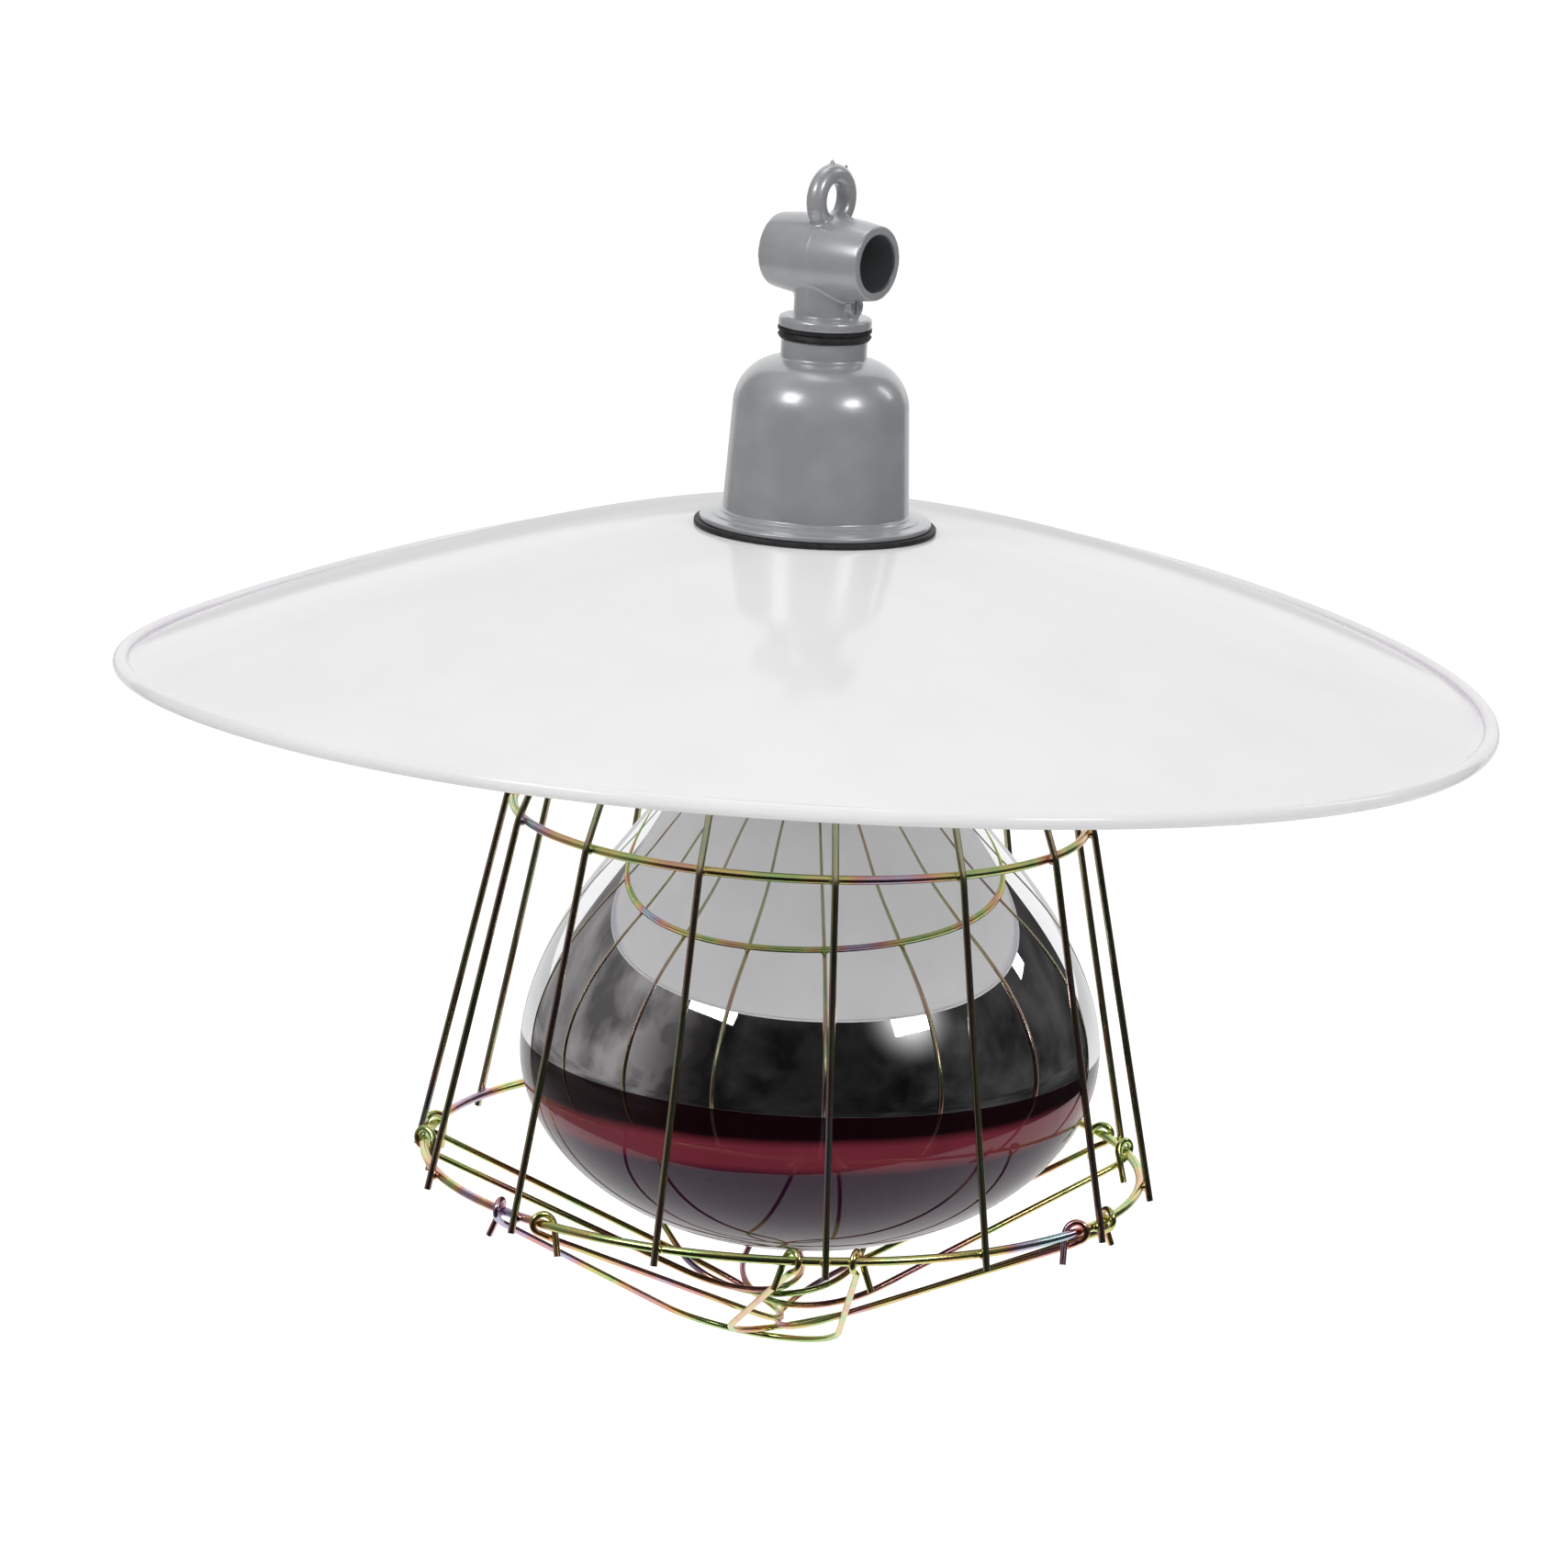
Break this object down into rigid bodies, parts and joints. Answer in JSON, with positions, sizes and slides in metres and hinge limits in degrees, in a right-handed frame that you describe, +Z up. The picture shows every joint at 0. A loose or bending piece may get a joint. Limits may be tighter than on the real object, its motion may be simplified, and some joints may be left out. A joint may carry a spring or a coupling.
{
  "type": "heat lamp fixture",
  "caption": "Hanging heat lamp fixture: cast bell housing with an eye tee, shallow round shade, ruby-fronted reflector bulb and a wire guard with hinged petals.",
  "frame": {"origin": "centre of the hanging eye's hole", "axes": "+Z up along the lamp's axis, +X along the tee's tube and the eye's hole, out of the tube's open end"},
  "size_m": [0.296, 0.296, 0.2576],
  "materials": {
    "grey_casting": "aluminium casting under soft-gloss metallic grey paint, fine seam and small chips",
    "plated_steel": "bright zinc-plated steel",
    "black_rubber": "matte black rubber",
    "white_enamel": "glossy white enamel on sheet steel",
    "passivated_plate": "yellow-passivated zinc plating",
    "guard_wire": "steel wire, yellow-passivated zinc plating with rainbow tints",
    "black_moulding": "matte black heat-resistant moulding",
    "porcelain": "glazed white porcelain",
    "brass_parts": "plain brass",
    "lamp_cap_metal": "rolled aluminium screw cap",
    "cap_glass": "black glass insulator",
    "mirrored_glass": "glass mirrored on the inside",
    "ruby_glass": "deep ruby stained glass",
    "clear_glass": "clear glass",
    "tungsten_wire": "dull grey lamp wire"
  },
  "bodies": {
    "fixture": {"hanger_tee": "grey_casting", "neck_set_screw": "plated_steel", "neck_gasket": "black_rubber", "bell_housing": "grey_casting", "flange_gasket": "black_rubber", "shade": "white_enamel", "guard_collar_plate": "passivated_plate", "clamp_ring": "black_moulding", "guard_mid_ring": "guard_wire", "guard_bottom_ring": "guard_wire", "guard_upright_01": "guard_wire", "guard_upright_02": "guard_wire", "guard_upright_03": "guard_wire", "guard_upright_04": "guard_wire", "guard_upright_05": "guard_wire", "guard_upright_06": "guard_wire", "guard_upright_07": "guard_wire", "guard_upright_08": "guard_wire", "guard_upright_09": "guard_wire", "guard_upright_10": "guard_wire", "guard_upright_11": "guard_wire", "guard_upright_12": "guard_wire", "guard_upright_13": "guard_wire", "guard_upright_14": "guard_wire", "lampholder_body": "porcelain", "screw_shell": "brass_parts", "centre_contact": "brass_parts", "terminal_left": "brass_parts", "terminal_right": "brass_parts", "terminal_screw_left": "plated_steel", "terminal_screw_right": "plated_steel", "fixing_screw_back": "plated_steel", "fixing_screw_front": "plated_steel", "earth_screw": "plated_steel"},
    "lamp": {"bulb_cap": "lamp_cap_metal", "bulb_cap_insulator": "cap_glass", "bulb_contact": "brass_parts", "bulb_reflector": "mirrored_glass", "bulb_front": "ruby_glass", "bulb_stem": "clear_glass", "bulb_filament": "tungsten_wire", "bulb_lead_wire_1": "tungsten_wire", "bulb_lead_wire_2": "tungsten_wire", "bulb_filament_support_1": "tungsten_wire", "bulb_filament_support_2": "tungsten_wire", "bulb_filament_support_3": "tungsten_wire"},
    "petal_1": {"petal_1": "guard_wire"},
    "petal_2": {"petal_2": "guard_wire"},
    "petal_3": {"petal_3": "guard_wire"},
    "petal_4": {"petal_4": "guard_wire"},
    "petal_5": {"petal_5": "guard_wire"},
    "petal_6": {"petal_6": "guard_wire"},
    "petal_7": {"petal_7": "guard_wire"}
  },
  "joints": [
    {"name": "lamp_unscrew", "type": "hinge", "parent": "fixture", "child": "lamp", "pos_m": [0, 0, -0.129], "axis": [0, 0, -1], "range_deg": [0, 1080]},
    {"name": "petal_1_hinge", "type": "hinge", "parent": "fixture", "child": "petal_1", "pos_m": [0.06225, -0.02413, -0.2091], "axis": [-0.3614, -0.9324, 0], "range_deg": [0, 119.53]},
    {"name": "petal_2_hinge", "type": "hinge", "parent": "fixture", "child": "petal_2", "pos_m": [0.05768, 0.03363, -0.2091], "axis": [0.5037, -0.8639, 0], "range_deg": [0, 108.87]},
    {"name": "petal_3_hinge", "type": "hinge", "parent": "fixture", "child": "petal_3", "pos_m": [0.00967, 0.06606, -0.2091], "axis": [0.9895, -0.1448, 0], "range_deg": [0, 87.53]},
    {"name": "petal_4_hinge", "type": "hinge", "parent": "fixture", "child": "petal_4", "pos_m": [-0.04562, 0.04875, -0.2091], "axis": [0.7302, 0.6833, 0], "range_deg": [0, 76.87]},
    {"name": "petal_5_hinge", "type": "hinge", "parent": "fixture", "child": "petal_5", "pos_m": [-0.06656, -0.00527, -0.2091], "axis": [-0.079, 0.9969, 0], "range_deg": [0, 66.2]},
    {"name": "petal_6_hinge", "type": "hinge", "parent": "fixture", "child": "petal_6", "pos_m": [-0.03738, -0.05532, -0.2091], "axis": [-0.8286, 0.5598, 0], "range_deg": [0, 98.2]},
    {"name": "petal_7_hinge", "type": "hinge", "parent": "fixture", "child": "petal_7", "pos_m": [0.01995, -0.06372, -0.2091], "axis": [-0.9543, -0.2988, 0], "range_deg": [0, 130]}
  ],
  "couplings": [
    {"joint": "petal_1_hinge", "follows": "petal_7_hinge", "ratio": 0.91795},
    {"joint": "petal_2_hinge", "follows": "petal_7_hinge", "ratio": 0.8359},
    {"joint": "petal_3_hinge", "follows": "petal_7_hinge", "ratio": 0.67179},
    {"joint": "petal_4_hinge", "follows": "petal_7_hinge", "ratio": 0.58974},
    {"joint": "petal_5_hinge", "follows": "petal_7_hinge", "ratio": 0.50769},
    {"joint": "petal_6_hinge", "follows": "petal_7_hinge", "ratio": 0.75385}
  ]
}
